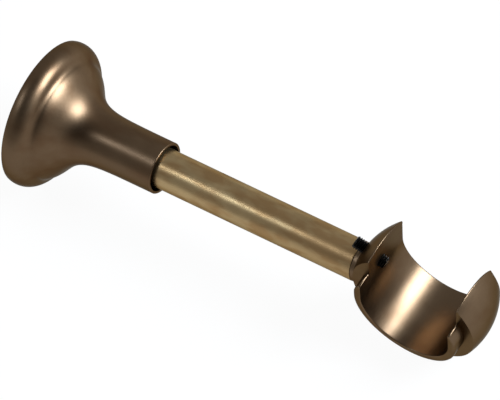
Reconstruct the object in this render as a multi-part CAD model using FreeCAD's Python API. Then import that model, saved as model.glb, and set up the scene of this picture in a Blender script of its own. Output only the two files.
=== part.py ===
# Curtain pole bracket: cover rose, round stem and ball-shaped pole cup.
# The wall is the plane y = 0, the stem leaves it along -Y, the pole lies along X, +Z is up.
import FreeCAD, Part
import math
import os

os.makedirs("parts", exist_ok=True)
V = FreeCAD.Vector

# Main sizes in mm
STEM_R = 6.0
STEM_WALL = 1.0
SEAT_DIST = 130.6
SEAT_R = 14.5
CUP_WALL = 6.65
SEAT_HALF_WIDTH = 11.4
SEAT_LEAN_DEG = 8.6
NECK_LEN = 0.7
NECK_STEP = 0.15
NECK_ROUND = 0.5
EDGE_ROUND = 0.35

# Grub screw that locks the pole
SCREW_R = 1.5
SCREW_LEN = 8.0
SCREW_PROUD = 3.3
SCREW_RISE_DEG = 27.0
SCREW_BEVEL = 0.3
SCREW_KEY = 1.5
SCREW_KEY_DEPTH = 2.0
SCREW_POINT_R = 0.7
SCREW_POINT_DEPTH = 0.5
RUN_FIT = 0.05

# Wall plate
PLATE_R = 17.8
PLATE_T = 3.0
PLATE_BEVEL = 0.5
PLATE_HOLE_R = 2.25
PLATE_SINK_R = 4.3
PLATE_EDGE = 1.0
PLATE_HOLES = 3

# Studs and the plugs they screw into
STUD_R = 3.0
STUD_BACK = 0.4
STUD_BEVEL = 0.6
STUD_GAP = 1.0
PLUG_LEN = 16.0
PLUG_FLOOR = 3.0
CUP_PLUG_LEN = 10.0
CUP_PLUG_FLOOR = 1.5
CUP_STUD_GAP = 0.3
CUP_FLOOR = 1.35

# Cover rose
ROSE_BACK = 0.2
ROSE_LEN = 41.7
ROSE_WALL = 1.3
PLATE_GAP = 1.4
PLATE_ROOM = 0.8
RIM_WALL = 3.2
BEAD_R = 5.1
BEAD_X = 1.7
VALLEY_DEG = 14.0
VALLEY_ROUND = 0.6
FLARE_RUN = 2.77
FLARE_SPREAD = 1.56
FLARE_POWER = 0.414
COLLAR_WALL = 0.83
COLLAR_ROUND = 0.3
SHOULDER_GAP = 0.7
SHOULDER_LEN = 2.4
RING_WALL = 1.1
RING_FROM = 22.0
RING_LEN = 6.0

# Sizes that follow from those above
BALL_R = SEAT_R + CUP_WALL
NECK_R = STEM_R - NECK_STEP
NECK_REACH = BALL_R + NECK_LEN
STEM_END = SEAT_DIST - NECK_REACH
CUP_HOLE_DEPTH = NECK_LEN + CUP_WALL - CUP_FLOOR
PLUG_R = STEM_R - STEM_WALL
HOLE_CIRCLE_R = PLATE_R - PLATE_EDGE - PLATE_SINK_R
SCREW_TIP = BALL_R + SCREW_PROUD - SCREW_LEN
RECESS_R = PLATE_R + PLATE_GAP
BEAD_CENTRE_R = RECESS_R + RIM_WALL - BEAD_R
VALLEY_X = BEAD_X + BEAD_R * math.cos(math.radians(VALLEY_DEG))
VALLEY_R = BEAD_CENTRE_R + BEAD_R * math.sin(math.radians(VALLEY_DEG))
FLARE_X = VALLEY_X + FLARE_RUN
COLLAR_BORE_R = STEM_R + RING_WALL
COLLAR_R = COLLAR_BORE_R + COLLAR_WALL
SHOULDER_R = STEM_R + SHOULDER_GAP


def round_bar(radius, start, end):
    """Solid bar on the stem axis between two distances from the wall."""
    return Part.makeCylinder(radius, end - start, V(0, -start, 0), V(0, -1, 0))


def turned(wires):
    """Solid turned about the stem axis from edges drawn as (distance, radius)."""
    face = Part.Face(Part.Wire(Part.__sortEdges__(wires)))
    solid = face.revolve(V(0, 0, 0), V(0, 1, 0), 360)
    return solid if solid.ShapeType == "Solid" else Part.makeSolid(solid)


def at(distance, radius):
    """Point of a turned outline, in the plane x = 0."""
    return V(0, -distance, radius)


def line(a, b):
    return Part.makeLine(a, b)


def smooth(points):
    """Smooth curve through the points."""
    curve = Part.BSplineCurve()
    curve.interpolate(points)
    return curve.toShape()


def flare(distance):
    """Outer radius of the rose, falling smoothly from the valley behind the bead to the collar."""
    fall = (1 + math.exp((distance - FLARE_X) / FLARE_SPREAD)) ** -FLARE_POWER
    full = (1 + math.exp((VALLEY_X - FLARE_X) / FLARE_SPREAD)) ** -FLARE_POWER
    return COLLAR_R + (VALLEY_R - COLLAR_R) * fall / full


def under_flare(distance):
    """Point one wall thickness inside the flare, square to it."""
    slope = (flare(distance + 0.01) - flare(distance - 0.01)) / 0.02
    size = math.hypot(1, slope)
    return at(distance + ROSE_WALL * slope / size, flare(distance) - ROSE_WALL / size)


def spaced(start, end, count):
    """Distances from start to end, packed more closely near the start."""
    return [start + (end - start) * (i / (count - 1)) ** 1.7 for i in range(count)]


def save(name, shape):
    if not shape.isValid() or len(shape.Solids) != 1:
        raise RuntimeError(name + " is not one valid solid")
    shape = shape.Solids[0]
    shape.exportStep("parts/" + name + ".step")
    print(name, shape.ShapeType, round(shape.Volume, 1))


# Cover rose: one hollow turned shell with a fat rim bead, a soft valley, a flare and a long collar
def cover_rose():
    rear_r = BEAD_CENTRE_R + math.sqrt(BEAD_R ** 2 - (ROSE_BACK - BEAD_X) ** 2)
    bead_start = at(ROSE_BACK, rear_r)
    bead_top = at(BEAD_X, BEAD_CENTRE_R + BEAD_R)
    valley = at(VALLEY_X, VALLEY_R)
    edges = [Part.Arc(bead_start, bead_top, valley).toShape()]
    outside = [at(d, flare(d)) for d in spaced(VALLEY_X, ROSE_LEN, 16)]
    edges.append(smooth(outside))
    mouth = at(ROSE_LEN, COLLAR_BORE_R)
    seat_out = at(RING_FROM, COLLAR_BORE_R)
    seat_in = at(RING_FROM, SHOULDER_R)
    neck_from = RING_FROM - SHOULDER_LEN
    neck = at(neck_from, SHOULDER_R)
    edges.append(line(outside[-1], mouth))
    edges.append(line(mouth, seat_out))
    edges.append(line(seat_out, seat_in))
    edges.append(line(seat_in, neck))
    inside = [under_flare(d) for d in spaced(VALLEY_X + ROSE_WALL, neck_from, 12)]
    recess = at(PLATE_T + PLATE_ROOM, RECESS_R)
    back = at(ROSE_BACK, RECESS_R)
    edges.append(line(neck, inside[-1]))
    edges.append(smooth(inside))
    edges.append(line(inside[0], recess))
    edges.append(line(recess, back))
    edges.append(line(back, bead_start))
    rose = turned(edges)
    mouth_rim = [e for e in rose.Edges if on_circle(e, ROSE_LEN, flare(ROSE_LEN))]
    rose = rose.makeFillet(COLLAR_ROUND, mouth_rim)
    return rose.makeFillet(VALLEY_ROUND, [e for e in rose.Edges if on_circle(e, VALLEY_X, VALLEY_R)])


def on_circle(edge, distance, radius):
    """True for a circular edge of a turned solid at this distance and radius."""
    box = edge.BoundBox
    return abs(box.Center.y + distance) < 0.01 and box.YLength < 0.01 and abs(box.ZMax - radius) < 0.01


# Plain ring pressed into the collar; it guides the rose on the stem
def rose_guide_ring():
    outer = round_bar(COLLAR_BORE_R, RING_FROM, RING_FROM + RING_LEN)
    return outer.cut(round_bar(STEM_R + RUN_FIT, RING_FROM - 1, RING_FROM + RING_LEN + 1))


def stem_tube():
    tube = round_bar(STEM_R, PLATE_T, STEM_END)
    return tube.cut(round_bar(PLUG_R, PLATE_T - 1, STEM_END + 1))


def stem_plug():
    plug = round_bar(PLUG_R, PLATE_T, PLATE_T + PLUG_LEN)
    return plug.cut(round_bar(STUD_R, PLATE_T - 1, PLATE_T + PLUG_LEN - PLUG_FLOOR))


def plate_stud():
    stud_end = PLATE_T + PLUG_LEN - PLUG_FLOOR - STUD_GAP
    stud = round_bar(STUD_R, STUD_BACK, stud_end)
    return stud.makeChamfer(STUD_BEVEL, [e for e in stud.Edges if on_circle(e, stud_end, STUD_R)])


def cup_plug():
    plug = round_bar(PLUG_R, STEM_END - CUP_PLUG_LEN, STEM_END)
    return plug.cut(round_bar(STUD_R, STEM_END - CUP_PLUG_LEN + CUP_PLUG_FLOOR, STEM_END + 1))


def cup_stud():
    start = STEM_END - CUP_PLUG_LEN + CUP_PLUG_FLOOR + CUP_STUD_GAP
    return round_bar(STUD_R, start, STEM_END + CUP_HOLE_DEPTH - CUP_STUD_GAP)


# Wall plate: thick washer with three countersunk holes and a hole for the stud
def wall_plate():
    plate = round_bar(PLATE_R, 0, PLATE_T)
    plate = plate.makeChamfer(PLATE_BEVEL, [e for e in plate.Edges if on_circle(e, PLATE_T, PLATE_R)])
    plate = plate.cut(round_bar(STUD_R, -1, PLATE_T + 1))
    sink_depth = PLATE_SINK_R - PLATE_HOLE_R
    for i in range(PLATE_HOLES):
        turn = 2 * math.pi * i / PLATE_HOLES
        x = HOLE_CIRCLE_R * -math.sin(turn)
        z = HOLE_CIRCLE_R * math.cos(turn)
        hole = Part.makeCylinder(PLATE_HOLE_R, PLATE_T + 2, V(x, 1, z), V(0, -1, 0))
        sink = Part.makeCone(PLATE_SINK_R, PLATE_HOLE_R, sink_depth, V(x, -PLATE_T, z), V(0, 1, 0))
        plate = plate.cut(hole).cut(sink)
    return plate


def screw_out():
    """Direction from the seat centre out along the grub screw."""
    rise = math.radians(SCREW_RISE_DEG)
    return V(0, math.cos(rise), math.sin(rise))


SEAT = V(0, -SEAT_DIST, 0)


def seat_space():
    """Pole seat drawn as one U: round below, straight sides above, leaning outwards."""
    reach = 2 * SEAT_HALF_WIDTH
    low = SEAT + V(-reach, 0, -SEAT_R)
    inner = SEAT + V(-reach, SEAT_R, 0)
    outer = SEAT + V(-reach, -SEAT_R, 0)
    up = V(0, 0, 2 * BALL_R)
    edges = [Part.Arc(inner, low, outer).toShape(), line(outer, outer + up)]
    edges += [line(outer + up, inner + up), line(inner + up, inner)]
    face = Part.Face(Part.Wire(edges))
    face.rotate(SEAT, V(1, 0, 0), SEAT_LEAN_DEG)
    return face.extrude(V(2 * reach, 0, 0))


# Pole cup: ball with flat ends, a U-shaped seat, a short neck and a tapped slanting hole
def pole_cup():
    ball = Part.makeSphere(BALL_R, SEAT)
    slab = Part.makeBox(2 * SEAT_HALF_WIDTH, 4 * BALL_R, 4 * BALL_R,
                        V(-SEAT_HALF_WIDTH, -SEAT_DIST - 2 * BALL_R, -2 * BALL_R))
    cup = ball.common(slab).cut(seat_space())
    cup = cup.makeFillet(EDGE_ROUND, cup.Edges)
    neck = round_bar(NECK_R, STEM_END, STEM_END + NECK_LEN + CUP_WALL / 2)
    neck = neck.makeFillet(NECK_ROUND, [e for e in neck.Edges if on_circle(e, STEM_END, NECK_R)])
    cup = cup.fuse(neck)
    cup = cup.cut(round_bar(STUD_R, STEM_END - 1, STEM_END + CUP_HOLE_DEPTH))
    hole = Part.makeCylinder(SCREW_R + RUN_FIT, 2 * BALL_R, SEAT, screw_out())
    return cup.cut(hole)


def pole_grub_screw():
    out = screw_out()
    tip = SEAT + out * SCREW_TIP
    screw = Part.makeCylinder(SCREW_R, SCREW_LEN, tip, out)
    screw = screw.makeChamfer(SCREW_BEVEL, [e for e in screw.Edges if e.Curve.TypeId == "Part::GeomCircle"])
    key_r = SCREW_KEY / 2 / math.cos(math.pi / 6)
    corners = [V(key_r * math.cos(i * math.pi / 3), key_r * math.sin(i * math.pi / 3), 0) for i in range(7)]
    key = Part.Face(Part.makePolygon(corners)).extrude(V(0, 0, SCREW_KEY_DEPTH + 1))
    key.Placement = FreeCAD.Placement(tip + out * (SCREW_LEN - SCREW_KEY_DEPTH), FreeCAD.Rotation(V(0, 0, 1), out))
    point = Part.makeCone(SCREW_POINT_R, 0, SCREW_POINT_DEPTH, tip, out)
    return screw.cut(key).cut(point)


for name, make in (("wall_plate", wall_plate), ("plate_stud", plate_stud), ("stem_plug", stem_plug),
                   ("stem_tube", stem_tube), ("cover_rose", cover_rose), ("rose_guide_ring", rose_guide_ring),
                   ("cup_plug", cup_plug), ("cup_stud", cup_stud), ("pole_cup", pole_cup),
                   ("pole_grub_screw", pole_grub_screw)):
    save(name, make())
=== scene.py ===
"""Looks of the curtain pole bracket: turned rose, brushed stem, ball-shaped pole cup and black grub screw."""

import math

import bmesh
import bpy
import numpy as np
from mathutils import Matrix, Vector


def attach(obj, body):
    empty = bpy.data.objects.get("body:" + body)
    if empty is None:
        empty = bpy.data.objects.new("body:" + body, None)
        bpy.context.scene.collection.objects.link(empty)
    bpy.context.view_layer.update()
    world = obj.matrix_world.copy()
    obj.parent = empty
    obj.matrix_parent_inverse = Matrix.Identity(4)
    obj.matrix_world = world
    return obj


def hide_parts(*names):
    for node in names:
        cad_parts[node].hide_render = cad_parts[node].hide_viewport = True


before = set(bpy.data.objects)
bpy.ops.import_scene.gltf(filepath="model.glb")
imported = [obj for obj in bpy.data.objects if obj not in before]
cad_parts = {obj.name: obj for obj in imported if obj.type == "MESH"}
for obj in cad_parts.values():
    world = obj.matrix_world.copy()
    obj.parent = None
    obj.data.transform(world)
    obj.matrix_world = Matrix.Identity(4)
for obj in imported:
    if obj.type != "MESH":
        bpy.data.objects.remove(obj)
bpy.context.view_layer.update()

bl_info = {
    "name": "Curtain Pole Bracket",
    "version": (1, 0, 0),
    "blender": (4, 5, 0),
    "location": "3D View > Sidebar > Pole Bracket",
    "description": "Builds the rose, stem, pole cup and grub screw of a curtain pole bracket",
    "category": "Object",
}

MM = 0.001


# Sizes and colours a user would change

class RoseSettings(bpy.types.PropertyGroup):
    """Cover rose"""
    back: bpy.props.FloatProperty(
        name="Back", description="Gap between the rose's rim and the wall",
        default=0.2 * MM, unit="LENGTH")
    length: bpy.props.FloatProperty(
        name="Length", description="Distance from the wall to the collar's mouth",
        default=41.7 * MM, unit="LENGTH")
    bead: bpy.props.FloatProperty(
        name="Rim bead", description="Radius of the round bead at the rim",
        default=5.1 * MM, unit="LENGTH")
    colour: bpy.props.FloatVectorProperty(
        name="Colour", description="Dark satin bronze",
        default=(0.122, 0.078, 0.044), size=3, subtype="COLOR")


class StemSettings(bpy.types.PropertyGroup):
    """Stem tube"""
    radius: bpy.props.FloatProperty(
        name="Radius", description="Outer radius of the tube",
        default=6.0 * MM, unit="LENGTH")
    bore: bpy.props.FloatProperty(
        name="Bore", description="Inner radius of the tube",
        default=5.0 * MM, unit="LENGTH")
    colour: bpy.props.FloatVectorProperty(
        name="Colour", description="Brushed antique brass",
        default=(0.385, 0.279, 0.143), size=3, subtype="COLOR")


class CupSettings(bpy.types.PropertyGroup):
    """Pole cup"""
    distance: bpy.props.FloatProperty(
        name="Distance", description="Wall to the middle of the ball",
        default=130.6 * MM, unit="LENGTH")
    ball: bpy.props.FloatProperty(
        name="Ball", description="Radius of the ball",
        default=21.15 * MM, unit="LENGTH")
    seat: bpy.props.FloatProperty(
        name="Seat", description="Radius of the pole seat",
        default=14.5 * MM, unit="LENGTH")
    half_width: bpy.props.FloatProperty(
        name="Half width", description="Half the width between the flat ends",
        default=11.4 * MM, unit="LENGTH")
    lean: bpy.props.FloatProperty(
        name="Lean", description="Lean of the open side away from the wall",
        default=math.radians(8.6), subtype="ANGLE")
    edge: bpy.props.FloatProperty(
        name="Edge", description="Radius of the rounded edges",
        default=0.35 * MM, unit="LENGTH")
    step: bpy.props.FloatProperty(
        name="Step", description="Middle of the ball to the flat that it is cut back to behind the near lip",
        default=6.5 * MM, unit="LENGTH")
    lip: bpy.props.FloatProperty(
        name="Lip", description="Thickness of the half ring round the near end of the seat",
        default=2.4 * MM, unit="LENGTH")
    lip_rise: bpy.props.FloatProperty(
        name="Lip rise", description="Height of the lip's ends above the seat's middle",
        default=6.9 * MM, unit="LENGTH")
    neck: bpy.props.FloatProperty(
        name="Neck", description="Radius of the short neck",
        default=5.95 * MM, unit="LENGTH")
    neck_reach: bpy.props.FloatProperty(
        name="Neck reach", description="Middle of the ball to the end of the neck",
        default=21.85 * MM, unit="LENGTH")
    colour: bpy.props.FloatVectorProperty(
        name="Colour", description="Satin bronze",
        default=(0.130, 0.085, 0.049), size=3, subtype="COLOR")


class ScrewSettings(bpy.types.PropertyGroup):
    """Grub screw"""
    radius: bpy.props.FloatProperty(
        name="Radius", description="Outer radius of the thread",
        default=2.0 * MM, unit="LENGTH")
    length: bpy.props.FloatProperty(
        name="Length", description="Length of the grub screw",
        default=11.0 * MM, unit="LENGTH")
    tip: bpy.props.FloatProperty(
        name="Tip", description="Middle of the ball to the tip of the screw",
        default=13.45 * MM, unit="LENGTH")
    rise: bpy.props.FloatProperty(
        name="Rise", description="Slant of the screw above the stem",
        default=math.radians(27.0), subtype="ANGLE")
    pitch: bpy.props.FloatProperty(
        name="Pitch", description="Pitch of the thread",
        default=0.7 * MM, unit="LENGTH")
    key: bpy.props.FloatProperty(
        name="Key", description="Size across the flats of the hexagon socket",
        default=2.0 * MM, unit="LENGTH")
    colour: bpy.props.FloatVectorProperty(
        name="Colour", description="Black oxide",
        default=(0.012, 0.011, 0.010), size=3, subtype="COLOR")


# Meshes as whole arrays

TOUCHING = 1e-7         # metres within which two points are one
TOUCHING_CUT = 5e-7     # the same where bodies were cut or joined
SHARP = math.radians(32)
SHARP_CUT = math.radians(38)


def weld(mesh, distance):
    """Merges points that lie on each other, so that seams and poles are closed."""
    bm = bmesh.new()
    bm.from_mesh(mesh)
    bmesh.ops.remove_doubles(bm, verts=bm.verts, dist=distance)
    bmesh.ops.dissolve_degenerate(bm, edges=bm.edges, dist=distance / 2)
    bm.to_mesh(mesh)
    bm.free()
    mesh.update()


def mesh_piece(name, points, faces, sharp=SHARP):
    """New object at the origin from points and quads; faces are turned outwards by the sign of the volume
    that they enclose. Edges that bend by more than the angle sharp stay sharp."""
    points = np.asarray(points, float).reshape(-1, 3)
    faces = np.asarray(faces, int)
    a, b, c, d = (points[faces[:, i]] for i in range(4))
    volume = (np.cross(a, b) * c).sum() + (np.cross(a, c) * d).sum()
    if volume < 0:
        faces = faces[:, ::-1]
    mesh = bpy.data.meshes.new(name)
    mesh.from_pydata(points.tolist(), [], faces.tolist())
    obj = bpy.data.objects.new(name, mesh)
    bpy.context.scene.collection.objects.link(obj)
    weld(mesh, TOUCHING)
    mesh.shade_smooth()
    if sharp:
        mesh.set_sharp_from_angle(angle=sharp)
    return obj


def grid_faces(rows, columns, wrap_rows=False, wrap_columns=False, first=0):
    """Quads of a grid of points stored row by row, joined up at the ends where it wraps."""
    row = np.arange(rows if wrap_rows else rows - 1)
    column = np.arange(columns if wrap_columns else columns - 1)
    i, j = np.meshgrid(row, column, indexing="ij")
    below, beside = (i + 1) % rows, (j + 1) % columns
    quads = [i * columns + j, below * columns + j, below * columns + beside, i * columns + beside]
    return np.stack(quads, -1).reshape(-1, 4) + first


def ring_round(axis, t):
    """Unit vectors round an axis at the angles t: cos t * side + sin t * up, where side is along x."""
    side = np.array([1.0, 0.0, 0.0])
    return np.cos(t)[:, None] * side + np.sin(t)[:, None] * np.cross(side, axis)


def turned(name, profile, around, origin=(0, 0, 0), axis=(0, -1, 0)):
    """Surface of revolution: each profile point (distance along the axis, radius) is carried round the
    axis, place = origin + axis * distance + radius * (cos t * side + sin t * up)."""
    profile = np.asarray(profile, float)
    axis = np.asarray(axis, float) / np.linalg.norm(axis)
    ring = ring_round(axis, np.linspace(0, 2 * np.pi, around, endpoint=False))
    points = np.asarray(origin) + profile[:, None, :1] * axis + profile[:, None, 1:2] * ring[None]
    return mesh_piece(name, points, grid_faces(len(profile), around, wrap_rows=True, wrap_columns=True))


def arc(centre, radius, start, end, steps):
    """Points on a circle from one angle to another, in degrees."""
    t = np.radians(np.linspace(start, end, steps))
    return np.asarray(centre) + radius * np.stack([np.cos(t), np.sin(t)], -1)


def spline(points, steps):
    """Natural cubic spline through the points over their chord length, sampled evenly: the bends at the
    points solve one set of linear equations, with no bend at the two ends."""
    points = np.asarray(points, float)
    count = len(points)
    gap = np.linalg.norm(np.diff(points, axis=0), axis=1)
    place = np.r_[0, np.cumsum(gap)]
    inner = np.arange(1, count - 1)
    system = np.eye(count)
    system[inner, inner - 1] = gap[:-1]
    system[inner, inner] = 2 * (gap[:-1] + gap[1:])
    system[inner, inner + 1] = gap[1:]
    change = np.zeros_like(points)
    change[1:-1] = 6 * np.diff(np.diff(points, axis=0) / gap[:, None], axis=0)
    bend = np.linalg.solve(system, change)
    x = np.linspace(0, place[-1], steps)
    i = np.clip(np.searchsorted(place, x, side="right") - 1, 0, count - 2)
    wide = gap[i][:, None]
    left, right = (place[i + 1] - x)[:, None], (x - place[i])[:, None]
    curved = (bend[i] * left ** 3 + bend[i + 1] * right ** 3) / (6 * wide)
    from_left = (points[i] / wide - bend[i] * wide / 6) * left
    from_right = (points[i + 1] / wide - bend[i + 1] * wide / 6) * right
    return curved + from_left + from_right


def quadratic(start, pull, end, t):
    """Curve from start to end that leaves and arrives along the lines to the point pull."""
    return (1 - t) ** 2 * start + 2 * t * (1 - t) * pull + t ** 2 * end


def eased(points, radius, steps):
    """Outline with its corners rounded: each corner becomes a quadratic curve that starts and ends one
    radius from it."""
    corner = np.asarray(points, float)
    radius = np.broadcast_to(np.asarray(radius, float), (len(corner),))
    before, after = np.roll(corner, 1, axis=0) - corner, np.roll(corner, -1, axis=0) - corner
    run_before, run_after = np.linalg.norm(before, axis=1), np.linalg.norm(after, axis=1)
    cut = np.minimum(radius, 0.45 * np.minimum(run_before, run_after))
    start = corner + before / run_before[:, None] * cut[:, None]
    end = corner + after / run_after[:, None] * cut[:, None]
    t = np.linspace(0, 1, steps + 1)[None, :, None]
    return quadratic(start[:, None], corner[:, None], end[:, None], t).reshape(-1, corner.shape[1])


# Shader maths

class Sock:
    """A node socket that can be used in sums and products; each sign adds one Math node."""

    def __init__(self, nodes, socket):
        self.nodes, self.socket = nodes, socket

    def _math(self, operation, a, b, clamp=False):
        return self.nodes.add("ShaderNodeMath", {"operation": operation, "use_clamp": clamp}, {0: a, 1: b})

    def __add__(self, other):
        return self._math("ADD", self, other)

    def __radd__(self, other):
        return self._math("ADD", other, self)

    def __sub__(self, other):
        return self._math("SUBTRACT", self, other)

    def __rsub__(self, other):
        return self._math("SUBTRACT", other, self)

    def __mul__(self, other):
        return self._math("MULTIPLY", self, other)

    def __rmul__(self, other):
        return self._math("MULTIPLY", other, self)

    def __truediv__(self, other):
        return self._math("DIVIDE", self, other)

    def __rtruediv__(self, other):
        return self._math("DIVIDE", other, self)

    def clamped(self):
        """Kept between 0 and 1."""
        return self._math("ADD", self, 0.0, clamp=True)

    def larger(self, other):
        """The larger of two."""
        return self._math("MAXIMUM", self, other)

    def beside(self, name):
        """Another output of the same node."""
        return Sock(self.nodes, self.socket.node.outputs[name])


class Nodes:
    """The nodes of one tree, all added by one method."""

    def __init__(self, tree):
        self.tree = tree
        tree.nodes.clear()

    def add(self, kind, settings=None, values=None, output=0):
        """Adds a node: its settings first, then the values or links of its sockets."""
        node = self.tree.nodes.new(kind)
        for key, value in (settings or {}).items():
            if key == "stops":
                self.set_stops(node.color_ramp.elements, value)
            else:
                setattr(node, key, value)
        for key, value in (values or {}).items():
            if isinstance(value, Sock):
                self.tree.links.new(value.socket, node.inputs[key])
            else:
                node.inputs[key].default_value = value
        return Sock(self, node.outputs[output]) if node.outputs else None

    def set_stops(self, elements, stops):
        """Places and colours of a ramp."""
        while len(elements) < len(stops):
            elements.new(0.5)
        for element, (place, colour) in zip(elements, stops):
            element.position = place
            element.color = colour


class Finish(Nodes):
    """One material and its nodes."""

    def __init__(self, name):
        self.material = bpy.data.materials.new(name)
        self.material.use_nodes = True
        super().__init__(self.material.node_tree)

    def mix_colour(self, factor, a, b):
        """Colour between a and b."""
        return self.add("ShaderNodeMix", {"data_type": "RGBA"}, {0: factor, 6: a, 7: b}, output=2)

    def place(self, scale=(1, 1, 1), location=(0, 0, 0)):
        """Object coordinates, stretched and moved."""
        coords = self.add("ShaderNodeTexCoord", output="Object")
        return self.add("ShaderNodeMapping", {}, {"Vector": coords, "Scale": scale, "Location": location})

    def noise(self, vector, scale, detail, roughness=0.5):
        """Noise value around 0.5."""
        return self.add("ShaderNodeTexNoise", {},
                        {"Vector": vector, "Scale": scale, "Detail": detail, "Roughness": roughness})

    def surface(self, shader):
        """The material, with this shader as its surface."""
        self.add("ShaderNodeOutputMaterial", {}, {"Surface": shader})
        return self.material

    def principled(self, values):
        """The material, with a Principled shader that has these socket values or links."""
        return self.surface(self.add("ShaderNodeBsdfPrincipled", {}, values))


def shade(colour, factor):
    """Colour with an alpha of 1, made darker or lighter by one factor, or by one for each channel."""
    return (*(np.array(colour) * factor).tolist(), 1)


# Finishes

NOISE_MIDDLE = 0.5
BROWN = (0.80, 0.70, 0.62)
RIM_TINT = (0.36, 0.34, 0.30, 1)


def brushed_metal(name, colour, rough, along, grain, streak, mottle, tarnish,
                  uneven=0.9, relief=0.006, fade=None):
    """Satin lacquered metal with brush marks along one axis: noise stretched along the axis gives fine
    marks, a broad cloud turns the colour towards a redder brown, and both change the gloss a little. Rims
    reflect less than bare metal. fade gives two places along y between which painted shade darkens the
    metal and makes it browner, and the gloss grows duller."""
    look = Finish(name)
    stretch = [grain, grain, grain]
    stretch[along] = grain * streak
    marks = look.noise(look.place(scale=stretch), 1.0, 3.0, 0.6)
    cloud = look.noise(look.place(), mottle, 3.0, 0.55)
    patch = look.noise(look.place(scale=(1.0, 0.4, 1.0), location=(0.13, 0.07, 0.02)), mottle * 2.3, 2.0)
    lift = (marks - NOISE_MIDDLE) * 0.35 + (cloud - NOISE_MIDDLE) * uneven + NOISE_MIDDLE
    tone = look.mix_colour(lift.clamped(), shade(colour, 0.84), shade(colour, 1.16))
    stain_and_shade = (patch - 0.45) * 3.0 * tarnish
    roughness = rough + (cloud - NOISE_MIDDLE) * 0.22 + (marks - NOISE_MIDDLE) * 0.08
    # Painted shade: between the two places along y the colour is darkened towards brown, on top of the real
    # stains, and the roughness rises as well.
    if fade:
        y = look.add("ShaderNodeSeparateXYZ", {}, {"Vector": look.place()}, output="Y")
        painted_shade_share = ((fade[0] - y) / (fade[0] - fade[1])).clamped()
        stain_and_shade = stain_and_shade.clamped() + painted_shade_share * 0.5
        roughness = roughness + painted_shade_share * 0.07
    tone = look.mix_colour(stain_and_shade.clamped(), tone, shade(colour, BROWN))
    bump = look.add("ShaderNodeBump", {}, {"Strength": relief, "Distance": 0.00004, "Height": marks})
    return look.principled({"Base Color": tone, "Metallic": 1.0, "Roughness": roughness.clamped(),
                         "Normal": bump, "Specular Tint": RIM_TINT, "Coat Weight": 0.10,
                         "Coat Roughness": 0.28})


def plain_finish(name, colour, rough, metallic=1.0):
    """Even finish with a faint cloudy change of colour and gloss, and a dusting of tiny bumps."""
    look = Finish(name)
    cloud = look.noise(look.place(), 120.0, 3.0)
    dust = look.noise(look.place(), 900.0, 2.0)
    tone = look.mix_colour((cloud * 0.8 + 0.1).clamped(), shade(colour, 0.8), shade(colour, 1.2))
    bump = look.add("ShaderNodeBump", {}, {"Strength": 0.2, "Distance": 0.00002, "Height": dust})
    roughness = (rough + (cloud - NOISE_MIDDLE) * 0.15).clamped()
    return look.principled({"Base Color": tone, "Metallic": metallic, "Roughness": roughness, "Normal": bump})


def dress(obj, material):
    """Gives a piece its one material; the shape of a CAD node stays."""
    obj.data.materials.clear()
    obj.data.materials.append(material)


# Cover rose, with distances from the wall and radii in millimetres

RIM_RADIUS = 22.4
BEAD_MIDDLE = 1.7
BEAD_END = 26.0         # degrees, where the bead's circle ends
BODY_CORNER = 14.0      # degrees, point of the bead from which the body's curve is reckoned
BODY_START = 7.6
BODY_END = 20.0
HOLLOW_START = 7.95
FLARE_MIDDLE = 2.77
FLARE_SPREAD = 1.56
FLARE_POWER = 0.414
COLLAR_RADIUS = 7.93
COLLAR_BORE = 7.1
COLLAR_ROUND = 0.3
RING_FROM, RING_TO, RING_BORE = 19.6, 22.0, 6.7
ROSE_WALL = 1.3
FOOT_DEPTH, FOOT_BORE = 3.8, 19.2


def flare(distance, corner):
    """Outline of the rose behind its bead, as (distance, radius): the radius falls from the corner behind
    the bead to the collar as (1 + e to the power (distance - middle) / spread) to a small negative
    power."""
    middle = corner[0] + FLARE_MIDDLE
    growth = 1 + np.exp((distance - middle) / FLARE_SPREAD)
    growth_at_corner = 1 + np.exp((corner[0] - middle) / FLARE_SPREAD)
    fall = (growth / growth_at_corner) ** -FLARE_POWER
    return np.stack([distance, COLLAR_RADIUS + (corner[1] - COLLAR_RADIUS) * fall], -1)


def valley(before, after):
    """Quadratic curve from the end of one outline to the start of the next, tangent to both: it is pulled
    towards the point where the two tangents meet."""
    start, end = before[-1], after[0]
    tangents = np.stack([start - before[-2], end - after[1]], -1)
    reach = np.linalg.solve(tangents, end - start)
    t = np.linspace(0, 1, 16)[1:-1, None]
    return quadratic(start, start + tangents[:, 0] * reach[0], end, t)


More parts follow.
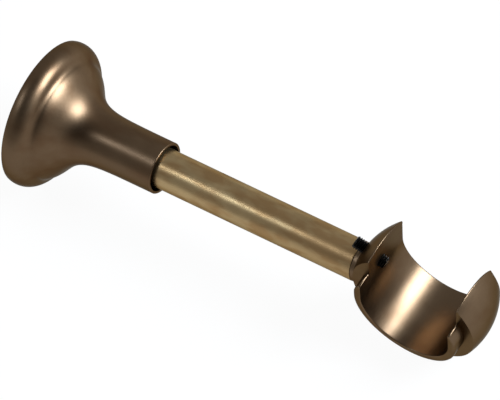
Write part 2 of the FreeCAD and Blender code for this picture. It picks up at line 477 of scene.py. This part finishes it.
def rose_outline(rose):
    """Closed outline of the rose, as (distance, radius): bead, valley, body and collar outside, then the
    mouth, the seat of the guide ring, the hollow at one wall's thickness under the body, and the foot."""
    back, length, bead = rose.back / MM, rose.length / MM, rose.bead / MM
    bead_centre = (BEAD_MIDDLE, RIM_RADIUS - bead)
    rim = arc(bead_centre, bead, math.degrees(math.acos((back - BEAD_MIDDLE) / bead)), BEAD_END, 44)
    corner = arc(bead_centre, bead, BODY_CORNER, BODY_CORNER, 1)[0]
    collar_run = np.linspace(BODY_END + 0.3, length - COLLAR_ROUND - 0.05, 50)
    body = flare(np.r_[np.linspace(BODY_START, BODY_END, 90), collar_run], corner)
    lip = arc((length - COLLAR_ROUND, body[-1, 1] - COLLAR_ROUND), COLLAR_ROUND, 80, 0, 7)
    mouth = [(length, COLLAR_BORE + 0.15), (length - 0.03, COLLAR_BORE + 0.06), (length - 0.12, COLLAR_BORE),
             (length - 0.3, COLLAR_BORE), (RING_TO + 0.1, COLLAR_BORE), (RING_TO, COLLAR_BORE)]
    ring_seat = [(RING_TO, RING_BORE), (RING_TO - 0.1, RING_BORE), (RING_FROM, RING_BORE)]
    hollow = flare(np.linspace(RING_FROM, HOLLOW_START, 70), corner)
    run = np.gradient(hollow, axis=0)
    run /= np.linalg.norm(run, axis=1)[:, None]
    hollow = hollow + ROSE_WALL * np.stack([-run[:, 1], run[:, 0]], -1)
    foot = [(FOOT_DEPTH, FOOT_BORE), (0.5, FOOT_BORE), (back + 0.1, FOOT_BORE), (back, FOOT_BORE + 0.1),
            (back, FOOT_BORE + 0.2), (back, rim[0, 1] - 0.15)]
    return np.vstack([rim, valley(rim, body), body, lip, mouth, ring_seat, hollow, foot])


class BuildRose(bpy.types.Operator):
    """Builds the cover rose: a hollow shell with a fat rim bead, a soft valley, a flare and a collar"""
    bl_idname = "bracket.rose"
    bl_label = "Cover Rose"

    def execute(self, context):
        rose = context.scene.bracket_rose
        obj = turned("cover_rose_turned", rose_outline(rose) * MM, 224)
        dress(obj, brushed_metal("rose dark satin bronze", rose.colour, rough=0.37, along=1, grain=2200.0,
                                 streak=0.2, mottle=70.0, tarnish=1.0, uneven=1.3))
        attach(obj, "rose")
        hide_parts("cover_rose")
        nylon = plain_finish("guide ring black nylon", (0.03, 0.03, 0.03), 0.6, metallic=0.0)
        dress(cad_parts["rose_guide_ring"], nylon)
        return {"FINISHED"}


# Stem tube, with distances from the wall in millimetres

STEM_START = 3.0
STEM_EDGE = 0.15
STEM_SHADE_SPAN = (-0.068, -0.108)       # metres along y, where painted shade starts and ends to darken the brass and make it browner towards the cup


def stem_outline(stem, end):
    """Closed outline of the tube's wall, as (distance, radius): a rectangle with softened corners, and
    points at even steps along its outside."""
    bore, radius = stem.bore / MM, stem.radius / MM
    corners = [(STEM_START, bore), (end, bore), (end, radius), (STEM_START, radius)]
    steps = 3
    wall = eased(corners, STEM_EDGE, steps)
    along = np.linspace(STEM_START + 0.5, end - 0.5, 60)[::-1]
    outside = np.stack([along, np.full(len(along), radius)], -1)
    third_corner = 3 * (steps + 1)
    return np.vstack([wall[:third_corner], outside, wall[third_corner:]])


class BuildStem(bpy.types.Operator):
    """Builds the round stem tube"""
    bl_idname = "bracket.stem"
    bl_label = "Stem Tube"

    def execute(self, context):
        stem, cup = context.scene.bracket_stem, context.scene.bracket_cup
        end = cup.distance / MM - cup.neck_reach / MM
        obj = turned("stem_tube_turned", stem_outline(stem, end) * MM, 160)
        dress(obj, brushed_metal("stem brushed antique brass", stem.colour, rough=0.35, along=1, grain=2600.0,
                                 streak=0.08, mottle=110.0, tarnish=1.8, uneven=1.7, relief=0.0015,
                                 fade=STEM_SHADE_SPAN))
        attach(obj, "bracket")
        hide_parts("stem_tube")
        return {"FINISHED"}


# Pole cup, in millimetres

TIP_THICKNESS = 0.42    # where the two walls end
TIP_ROUND = 0.45        # height of the rounded tops over that thickness
CROWDING = 0.86         # share of a quarter turn, which crowds the rows towards the tops
LIP_DEPTH = 0.8         # how far the lip runs on into the ball
LIP_TAPER = 5.0         # length over which the lip thins out
LIP_THINNEST = 0.3      # share of its thickness that is left at its ends
NECK_EDGE = 0.25
NECK_FLARE = 0.3
NECK_ROOT = -16.2       # inside of the ball
DRILL_FROM, DRILL_TO = 10.0, 26.0
HOLE_PLAY = 0.05


def cup_place(cup, x, out, up):
    """Place in metres of points given in millimetres along the cup's own directions: across, out from the
    wall, and up. The last two are turned about the middle of the ball by the cup's lean."""
    cosine, sine = math.cos(cup.lean), math.sin(cup.lean)
    from_wall = cup.distance / MM + (out * cosine + up * sine)
    return np.stack([x, -from_wall, -out * sine + up * cosine], -1) * MM


def cup_polar(cup, polar):
    """Place in metres of points given as (x, radius, angle round the seat's axis from straight down)."""
    x, radius, angle = polar[..., 0], polar[..., 1], polar[..., 2]
    return cup_place(cup, x, radius * np.sin(angle), -radius * np.cos(angle))


def cup_walls(cup):
    """Outside and inside of the cup, as (x, radius, angle) on a grid of rows round the seat and columns
    across it. The outside lies at the ball's radius, the root of (ball squared - x squared). The inside
    lies at the seat's radius below the middle, and at seat / sin(angle) on the straight walls above it,
    up to the angle where the wall is TIP_THICKNESS thick. Towards the flat ends both are rounded off by
    the edge's radius."""
    ball, seat, half, edge = cup.ball / MM, cup.seat / MM, cup.half_width / MM, cup.edge / MM
    quarter = np.pi / 2 * CROWDING
    along = np.sin(np.linspace(-1, 1, 190) * quarter) / np.sin(quarter)

    def outer_radius(x):
        return np.sqrt(ball ** 2 - x ** 2)

    def last_angle(x):
        return np.pi - np.arcsin(seat / (outer_radius(x) - TIP_THICKNESS))

    def inner_radius(angle):
        turn = np.abs(angle)
        return np.where(turn <= np.pi / 2, seat, seat / np.sin(np.clip(turn, np.pi / 2, np.pi - 0.2)))

    thick = outer_radius(half) - inner_radius(along * last_angle(half))
    ease = np.minimum(edge, 0.3 * thick)[:, None]
    across = np.r_[-1, -0.975, np.linspace(-0.93, 0.93, 25), 0.975, 1] * (half - ease)
    t = np.linspace(0, 1, 5)[None, 1:]
    corner_x = (half - ease) + ease * (2 * t * (1 - t) + t ** 2)
    corner_drop = ease * t ** 2
    x = np.concatenate([-corner_x[:, ::-1], across, corner_x], 1)
    drop = np.concatenate([corner_drop[:, ::-1], np.zeros_like(across), corner_drop], 1)
    angle = along[:, None] * last_angle(x)
    outer = np.stack([x, outer_radius(x) - drop, angle], -1)
    inner = np.stack([x, inner_radius(angle) + drop, angle], -1)
    return outer, inner


def top_cap(cup, outer, inner, share, sign):
    """Rounded top of a wall, between its last outer and inner row: points at these shares of the way from
    one to the other, raised by a hump of height sin(pi * share) to the power 0.6 that is lower near the
    flat ends."""
    a, b = cup_polar(cup, outer), cup_polar(cup, inner)
    x, angle = outer[:, 0], outer[:, 2]
    past_end = np.stack([x, (outer[:, 1] + inner[:, 1]) / 2, angle + sign * 0.02], -1)
    away = cup_polar(cup, past_end) - (a + b) / 2
    away /= np.linalg.norm(away, axis=1)[:, None]
    bulge = np.clip(1 - (x / (cup.half_width / MM)) ** 6, 0, 1) ** 0.5
    height = TIP_ROUND * TIP_THICKNESS * MM * bulge[None, :, None]
    share = share[:, None, None]
    return a * (1 - share) + b * share + height * np.sin(np.pi * share) ** 0.6 * away


def cup_shell(cup):
    """Ball with flat ends and a U-shaped seat as one closed surface: a band of outside, flat end, inside
    and flat end for each row round the seat, and a rounded cap on each of the two tops."""
    outer, inner = cup_walls(cup)
    between = np.r_[0.04, np.linspace(0.15, 0.85, 5), 0.96]
    way = between[None, :, None]
    right = outer[:, -1:] * (1 - way) + inner[:, -1:] * way
    left = inner[:, :1] * (1 - way) + outer[:, :1] * way
    band = np.concatenate([outer, right, inner[:, ::-1], left], 1)
    rows, columns = band.shape[:2]
    points = [cup_polar(cup, band).reshape(-1, 3)]
    faces = [grid_faces(rows, columns, wrap_columns=True)]
    share = np.r_[0.0, between, 1.0]
    for row, sign in ((0, -1.0), (rows - 1, 1.0)):
        quads = grid_faces(len(share), outer.shape[1], first=sum(len(part) for part in points))
        points.append(top_cap(cup, outer[row], inner[row], share, sign).reshape(-1, 3))
        faces.append(quads if sign > 0 else quads[:, ::-1])
    return np.vstack(points), np.vstack(faces)


def near_lip(cup):
    """Half ring round the lower seat at the end that the photo shows: a rounded section (x, radius) is
    carried along a U, down one side, round the half circle and up the other side, and thins out towards
    its two ends, which are rounded off to a point."""
    seat, half, step, rise_to = cup.seat / MM, cup.half_width / MM, cup.step / MM, cup.lip_rise / MM
    inner, outer, back = seat + 0.01, seat + cup.lip / MM, LIP_DEPTH - step
    corners = [(-half, inner), (-half, outer), (back, outer), (back, seat + 0.9), (0.05 - step, inner)]
    section = eased(corners, (0.4, 0.9, 0.1, 0.1, 0.01), 4)
    middle = section.mean(axis=0)
    bend = np.linspace(-np.pi / 2, np.pi / 2, 97)
    climb = rise_to * np.r_[1.0, 0.995, 0.98, 0.95, np.linspace(0.9, 0.05, 12)]
    angle = np.r_[np.full(len(climb), -np.pi / 2), bend, np.full(len(climb), np.pi / 2)]
    rise = np.r_[climb, np.zeros(len(bend)), climb[::-1]]
    size = np.ones(len(angle))
    grow = (0.0, 0.45, 0.8, 0.96)
    size[:4] = grow
    size[-4:] = grow[::-1]
    to_end = rise_to - rise + seat * (np.pi / 2 - np.abs(angle))
    taper = np.maximum(1 - (1 - np.minimum(to_end / LIP_TAPER, 1)) ** 2, LIP_THINNEST)
    grown = middle + (section - middle) * size[:, None, None]
    radius = inner + (grown[..., 1] - inner) * taper[:, None]
    out, up = radius * np.sin(angle)[:, None], rise[:, None] - radius * np.cos(angle)[:, None]
    points = cup_place(cup, grown[..., 0], out, up)
    rows, columns = points.shape[:2]
    return points.reshape(-1, 3), grid_faces(rows, columns, wrap_columns=True)


def neck_outline(cup):
    """Closed outline of the neck, as (distance, radius), from the stem's end into the ball: a rounded
    edge, a straight run and a small flare that a spline draws."""
    start, neck = -cup.neck_reach / MM, cup.neck / MM
    wide = neck + NECK_FLARE
    edge = arc((start + NECK_EDGE, neck - NECK_EDGE), NECK_EDGE, 180, 90, 6)
    flaring = [(start + 0.7, neck), (start + 1.1, neck), (start + 1.5, neck + 0.05), (start + 1.9, wide)]
    run = spline(flaring, 8)
    return np.vstack([[(start, 0.0), (start, neck - 0.5)], edge, run, [(NECK_ROOT, wide), (NECK_ROOT, 0.0)]])


def block(name, low, high):
    """Plain box between two corners."""
    pick = np.array([[0, 0, 0], [1, 0, 0], [1, 1, 0], [0, 1, 0], [0, 0, 1], [1, 0, 1], [1, 1, 1], [0, 1, 1]])
    faces = [(0, 3, 2, 1), (4, 5, 6, 7), (0, 1, 5, 4), (1, 2, 6, 5), (2, 3, 7, 6), (3, 0, 4, 7)]
    return mesh_piece(name, np.where(pick, high, low), faces, sharp=None)


def with_tools(obj, steps):
    """Joins closed bodies to the object or takes them out of it, one after the other, and stores the
    result as its mesh."""
    for tool, operation in steps:
        step = obj.modifiers.new(operation.lower(), "BOOLEAN")
        step.operation, step.solver, step.object = operation, "EXACT", tool
    graph = bpy.context.evaluated_depsgraph_get()
    result = bpy.data.meshes.new_from_object(obj.evaluated_get(graph))
    obj.modifiers.clear()
    obj.data = result
    for tool, _ in steps:
        bpy.data.objects.remove(tool)
    weld(result, TOUCHING_CUT)
    result.shade_smooth()
    result.set_sharp_from_angle(angle=SHARP_CUT)


def screw_direction(screw):
    """Unit vector from the middle of the ball out along the grub screw."""
    return np.array([0.0, math.cos(screw.rise), math.sin(screw.rise)])


def paint_hole_shade(mesh, centre, away, radius):
    """Second material, painted shade: dull, nearly black and with little reflection, on the faces of the
    drilled hole: those whose middle is one hole radius from its axis."""
    middle = np.empty(len(mesh.polygons) * 3)
    mesh.polygons.foreach_get("center", middle)
    middle = middle.reshape(-1, 3) - np.asarray(centre)
    along = middle @ away
    off_axis = np.linalg.norm(middle - along[:, None] * away, axis=1)
    inside = (off_axis < radius * 1.01) & (along > 0)
    # Painted shade: the bored metal is coloured nearly black and given little reflection, so the hole reads
    # as shadow.
    black = Finish("screw hole painted shade").principled(
        {"Base Color": (0.010, 0.009, 0.008, 1), "Roughness": 0.8, "Specular IOR Level": 0.1})
    mesh.materials.append(black)
    mesh.polygons.foreach_set("material_index", inside.astype(np.int32))


class BuildCup(bpy.types.Operator):
    """Builds the pole cup: a ball with flat ends, an open seat, a near lip, a neck and a screw hole"""
    bl_idname = "bracket.cup"
    bl_label = "Pole Cup"

    def execute(self, context):
        cup, screw = context.scene.bracket_cup, context.scene.bracket_screw
        centre = (0, -cup.distance, 0)
        away = screw_direction(screw)
        obj = mesh_piece("pole_cup_cast", *cup_shell(cup), sharp=None)
        neck = turned("neck", neck_outline(cup) * MM, 128, origin=centre)
        hole = screw.radius / MM + HOLE_PLAY
        drill_outline = [(DRILL_FROM, 0.0), (DRILL_FROM, hole), (DRILL_TO, hole), (DRILL_TO, 0.0)]
        drill = turned("drill", np.array(drill_outline) * MM, 48, origin=centre, axis=away)
        clear = cup.ball * 1.5
        slab = block("slab", (-clear, centre[1] - clear, -clear), (-cup.step, centre[1] + clear, clear))
        lip = mesh_piece("lip", *near_lip(cup), sharp=None)
        with_tools(obj, [(slab, "DIFFERENCE"), (lip, "UNION"), (neck, "UNION"), (drill, "DIFFERENCE")])
        dress(obj, brushed_metal("cup satin bronze", cup.colour, rough=0.33, along=0, grain=2000.0,
                                 streak=0.35, mottle=60.0, tarnish=0.8))
        # Painted shade on the walls of the screw hole.
        paint_hole_shade(obj.data, centre, away, hole * MM)
        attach(obj, "bracket")
        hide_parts("pole_cup")
        return {"FINISHED"}


# Grub screw, in millimetres

SCREW_AROUND = 72
ROWS_PER_TURN = 8
THREAD_DEPTH = 0.4
THREAD_FADE = 0.4       # length over which the thread fades out at both ends
END_CHAMFER = 0.12
SOCKET_DEPTH = 1.7


def screw_rings(screw, t):
    """Height and radius of the screw's skin at the angles t, ring by ring from the hollow point to the
    bottom of the socket. On the body the radius falls by the thread's depth in a rounded zigzag of
    (height / pitch - t / full turn). In the socket it is half the key's size over the cosine of the angle
    from the middle of the nearest flat."""
    radius, length, pitch = screw.radius / MM, screw.length / MM, screw.pitch / MM
    full_turn = 2 * np.pi
    rows = np.arange(0.35, length - 0.35 + 1e-9, pitch / ROWS_PER_TURN)[:, None]
    zigzag = np.abs(((rows / pitch - t[None] / full_turn) % 1.0) * 2 - 1)
    fade = np.clip(np.minimum(rows - 0.3, length - 0.3 - rows) / THREAD_FADE, 0, 1)
    groove = THREAD_DEPTH * (1 - np.clip(zigzag * 1.35 - 0.15, 0, 1))
    thread = radius - groove * fade - END_CHAMFER * (1 - fade)
    point = np.array([(0.45, 0.0), (0.45, 0.25), (0.02, 0.62), (0.0, 0.78), (0.05, 0.95)])
    rim = np.array([(length - 0.12, radius - 0.25), (length - 0.02, radius - 0.4), (length, radius - 0.5)])
    socket = np.array([(length, 1.04), (length - 0.04, 1.01), (length - SOCKET_DEPTH, 1.0),
                       (length - 1.78, 0.95), (length - 1.95, 0.4), (length - 2.0, 0.0)])
    sixth = np.pi / 3
    hexagon = (screw.key / MM / 2) / np.cos((t + sixth / 2) % sixth - sixth / 2)
    plain = np.ones(len(t))
    heights = np.vstack([point[:, :1] * plain, rows * plain, rim[:, :1] * plain, socket[:, :1] * plain])
    radii = np.vstack([point[:, 1:] * plain, thread, rim[:, 1:] * plain, socket[:, 1:] * hexagon])
    return heights[..., None] * MM, radii[..., None] * MM


class BuildScrew(bpy.types.Operator):
    """Builds the black grub screw with its thread, cup point and hexagon socket"""
    bl_idname = "bracket.screw"
    bl_label = "Grub Screw"

    def execute(self, context):
        screw = context.scene.bracket_screw
        t = np.linspace(0, 2 * np.pi, SCREW_AROUND, endpoint=False)
        height, radius = screw_rings(screw, t)
        away = screw_direction(screw)
        centre = np.array([0, -context.scene.bracket_cup.distance, 0])
        points = centre + (screw.tip + height) * away + radius * ring_round(away, t)[None]
        faces = grid_faces(len(points), SCREW_AROUND, wrap_columns=True)
        obj = mesh_piece("pole_grub_screw_cut", points, faces, sharp=math.radians(40))
        dress(obj, plain_finish("grub screw black oxide", screw.colour, 0.34))
        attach(obj, "screw")
        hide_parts("pole_grub_screw")
        return {"FINISHED"}


class FinishPlate(bpy.types.Operator):
    """Gives the wall plate, its stud and the hidden plugs and stud their zinc plated finish"""
    bl_idname = "bracket.plate"
    bl_label = "Wall Plate and Studs"

    def execute(self, context):
        zinc = plain_finish("plate zinc plated steel", (0.42, 0.43, 0.44), 0.36)
        for node in ("wall_plate", "plate_stud", "stem_plug", "cup_plug", "cup_stud"):
            dress(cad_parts[node], zinc)
        return {"FINISHED"}


# Stage

ROLL = math.radians(25.42)      # turn of the picture, which lays the stem slantwise
SLANT = 0.40                    # share of the stem's direction that points at the camera
LOOK = math.radians(24.3)       # how far the camera stands off to the side, seen along the stem
PIXELS_PER_MM = 3.52
PICTURE_WIDTH = 500.0           # pixels
FOCAL_LENGTH = 10000.0          # pixels, which is nearly a parallel view
SENSOR = 36.0                   # millimetres
MIDDLE_OF_BRACKET = np.array([0, -0.0698, 0])
PICTURE_SHIFT = 2.31            # millimetres across the stem, to the middle of the picture
FLOOR_HEIGHT = -0.0226
FLOOR_HALF = 6.0
LAMP_REACH = 0.9
DAYLIGHT = (0.79, 0.88, 1.0)
AIR_STOPS = ((0.0, 0.47), (0.60, 0.43), (0.83, 0.16), (0.93, 0.01))


def photo_axes():
    """Camera axes in the bracket's frame: along the stem in the picture, across it, and to the camera."""
    out, side, up = np.array([0, -1.0, 0]), np.array([1.0, 0, 0]), np.array([0, 0, 1.0])
    flat = math.sqrt(1 - SLANT ** 2)
    along = flat * out + SLANT * math.sin(LOOK) * side - SLANT * math.cos(LOOK) * up
    across = math.cos(LOOK) * side + math.sin(LOOK) * up
    towards = SLANT * out - flat * math.sin(LOOK) * side + flat * math.cos(LOOK) * up
    return along, across, towards


def add_to_scene(name, data):
    """New object in the scene."""
    obj = bpy.data.objects.new(name, data)
    bpy.context.scene.collection.objects.link(obj)
    return obj


def photo_camera():
    """Camera at the photograph's viewing angle and scale."""
    along, across, towards = photo_axes()
    data = bpy.data.cameras.new("camera")
    data.sensor_width = SENSOR
    data.lens = SENSOR * FOCAL_LENGTH / PICTURE_WIDTH
    data.clip_start, data.clip_end = 0.1, 50.0
    target = MIDDLE_OF_BRACKET + across * PICTURE_SHIFT * MM
    place = np.eye(4)
    place[:3, 0] = math.cos(ROLL) * along + math.sin(ROLL) * across
    place[:3, 1] = -math.sin(ROLL) * along + math.cos(ROLL) * across
    place[:3, 2] = towards
    place[:3, 3] = target + towards * (FOCAL_LENGTH / PIXELS_PER_MM * MM)
    camera = add_to_scene("camera", data)
    camera.matrix_world = Matrix(place.tolist())
    return camera


def pale_floor():
    """Floor that looks white to the camera and in the metal, and still takes the bracket's shadow."""
    floor = bpy.data.meshes.new("floor")
    z, half = FLOOR_HEIGHT, FLOOR_HALF
    corners = [(-half, -half, z), (half, -half, z), (half, half, z), (-half, half, z)]
    floor.from_pydata(corners, [], [(0, 1, 2, 3)])
    look = Finish("floor pale")
    ray = look.add("ShaderNodeLightPath", output="Is Camera Ray")
    seen = ray.larger(ray.beside("Is Glossy Ray")).larger(ray.beside("Is Transmission Ray"))
    matt = look.add("ShaderNodeBsdfDiffuse", {}, {"Color": (0.86, 0.86, 0.86, 1)})
    white = look.add("ShaderNodeEmission", {}, {"Color": (1, 1, 1, 1), "Strength": 1.0})
    mix = look.add("ShaderNodeMixShader", {}, {"Fac": seen * 0.95, 1: matt, 2: white})
    floor.materials.append(look.surface(mix))
    return add_to_scene("floor", floor)


def lamp(name, direction, size, power):
    """Soft rectangular lamp, aimed at the middle of the bracket from a direction given along the camera's
    axes."""
    way = sum(share * axis for share, axis in zip(direction, photo_axes()))
    way = way / np.linalg.norm(way)
    light = bpy.data.lights.new(name, "AREA")
    light.shape = "RECTANGLE"
    light.size, light.size_y = size
    light.energy, light.color = power, DAYLIGHT
    obj = add_to_scene(name, light)
    obj.location = Vector((MIDDLE_OF_BRACKET + way * LAMP_REACH).tolist())
    obj.rotation_euler = Vector((-way).tolist()).to_track_quat("-Z", "Y").to_euler()
    return obj


def studio_air():
    """World light: even all round, dark around the camera, as its own side of a studio is."""
    towards_camera = photo_axes()[2]
    world = bpy.data.worlds.new("studio")
    world.use_nodes = True
    air = Nodes(world.node_tree)
    way = air.add("ShaderNodeTexCoord", output="Generated")
    facing = air.add("ShaderNodeVectorMath", {"operation": "DOT_PRODUCT"},
                     {0: way, 1: tuple(towards_camera)}, output="Value")
    stops = [(place, (level, level, level, 1)) for place, level in AIR_STOPS]
    colour = air.add("ShaderNodeValToRGB", {"stops": stops}, {"Fac": facing})
    light = air.add("ShaderNodeBackground", {}, {"Color": colour})
    air.add("ShaderNodeOutputWorld", {}, {"Surface": light})
    return world


class BuildStage(bpy.types.Operator):
    """Adds the pale floor, the soft lights and the camera"""
    bl_idname = "bracket.stage"
    bl_label = "Stage"

    def execute(self, context):
        scene = context.scene
        scene.view_settings.view_transform = "Standard"
        camera = photo_camera()
        scene.camera = camera
        floor_obj = pale_floor()
        lamps = [lamp("key", (0.50, 0.58, 0.62), (0.45, 0.45), 19.4),
                 lamp("strip", (-0.73, 0.0, 0.68), (0.24, 0.10), 1.03)]
        scene.world = studio_air()
        return {"FINISHED"}


class BracketPanel(bpy.types.Panel):
    """Lists the pieces of the bracket"""
    bl_idname = "VIEW3D_PT_bracket"
    bl_label = "Curtain Pole Bracket"
    bl_space_type = "VIEW_3D"
    bl_region_type = "UI"
    bl_category = "Pole Bracket"

    def draw(self, context):
        for operator in BUILDERS:
            self.layout.operator(operator.bl_idname)
        for group in SETTINGS:
            settings = getattr(context.scene, group)
            for key in settings.__annotations__:
                self.layout.prop(settings, key)


SETTINGS = {
    "bracket_rose": RoseSettings,
    "bracket_stem": StemSettings,
    "bracket_cup": CupSettings,
    "bracket_screw": ScrewSettings,
}
BUILDERS = [BuildRose, BuildStem, BuildCup, BuildScrew, FinishPlate, BuildStage]


def register():
    for name, group in SETTINGS.items():
        bpy.utils.register_class(group)
        setattr(bpy.types.Scene, name, bpy.props.PointerProperty(type=group))
    for operator in BUILDERS:
        bpy.utils.register_class(operator)
    bpy.utils.register_class(BracketPanel)


def unregister():
    bpy.utils.unregister_class(BracketPanel)
    for operator in reversed(BUILDERS):
        bpy.utils.unregister_class(operator)
    for name, group in SETTINGS.items():
        delattr(bpy.types.Scene, name)
        bpy.utils.unregister_class(group)


def main():
    register()
    bpy.ops.bracket.rose()
    bpy.ops.bracket.stem()
    bpy.ops.bracket.cup()
    bpy.ops.bracket.screw()
    bpy.ops.bracket.plate()
    bpy.ops.bracket.stage()


if __name__ == "__main__":
    main()
